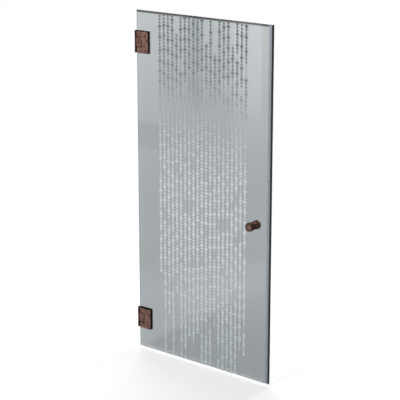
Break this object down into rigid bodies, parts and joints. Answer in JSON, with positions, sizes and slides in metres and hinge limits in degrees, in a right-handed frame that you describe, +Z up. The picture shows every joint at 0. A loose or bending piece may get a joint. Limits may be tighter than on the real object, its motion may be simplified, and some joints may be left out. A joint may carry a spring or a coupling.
{
  "type": "shower door",
  "caption": "Frameless tinted glass shower door with dark bronze wall-to-glass clamp hinges, a back-to-back knob, a magnetic strike seal and a bottom sweep.",
  "frame": {"origin": "centre of the lower hinge's wall plate, on the face that meets the wall", "axes": "+X from the wall along the closed door, +Z up, -Y out of the shower towards the person who enters"},
  "size_m": [0.9137, 0.082, 1.912],
  "materials": {
    "glass": "grey tinted toughened glass with a printed bead pattern",
    "bronze": "brushed dark bronze",
    "steel": "plain ground steel",
    "steel_screws": "steel screws blackened to match the bronze",
    "nylon": "dark brown nylon",
    "gasket": "soft black sheet",
    "clear_vinyl": "clear extruded vinyl",
    "magnet_strip": "near black magnetic strip"
  },
  "bodies": {
    "wall_brackets": {"upper_hinge_wall_plate": "bronze", "upper_hinge_block_screws": "steel", "upper_hinge_pivot_block": "bronze", "lower_hinge_wall_plate": "bronze", "lower_hinge_block_screws": "steel", "lower_hinge_pivot_block": "bronze"},
    "door": {"glass_panel": "glass", "upper_hinge_pivot_pin": "steel", "upper_hinge_thrust_washers": "nylon", "upper_hinge_pin_bars": "steel", "upper_hinge_front_plate": "bronze", "upper_hinge_back_plate": "bronze", "upper_hinge_front_gasket": "gasket", "upper_hinge_back_gasket": "gasket", "upper_hinge_clamp_screws": "steel_screws", "lower_hinge_pivot_pin": "steel", "lower_hinge_thrust_washers": "nylon", "lower_hinge_pin_bars": "steel", "lower_hinge_front_plate": "bronze", "lower_hinge_back_plate": "bronze", "lower_hinge_front_gasket": "gasket", "lower_hinge_back_gasket": "gasket", "lower_hinge_clamp_screws": "steel_screws", "front_knob": "bronze", "back_knob": "bronze", "knob_stud": "steel", "knob_sleeve": "nylon", "front_knob_washer": "nylon", "back_knob_washer": "nylon", "strike_seal": "clear_vinyl", "strike_magnet": "magnet_strip", "bottom_sweep": "clear_vinyl"}
  },
  "joints": [
    {"name": "door_swing", "type": "hinge", "parent": "wall_brackets", "child": "door", "pos_m": [0.033, 0, 0], "axis": [0, 0, 1], "range_deg": [-89, 89]}
  ]
}
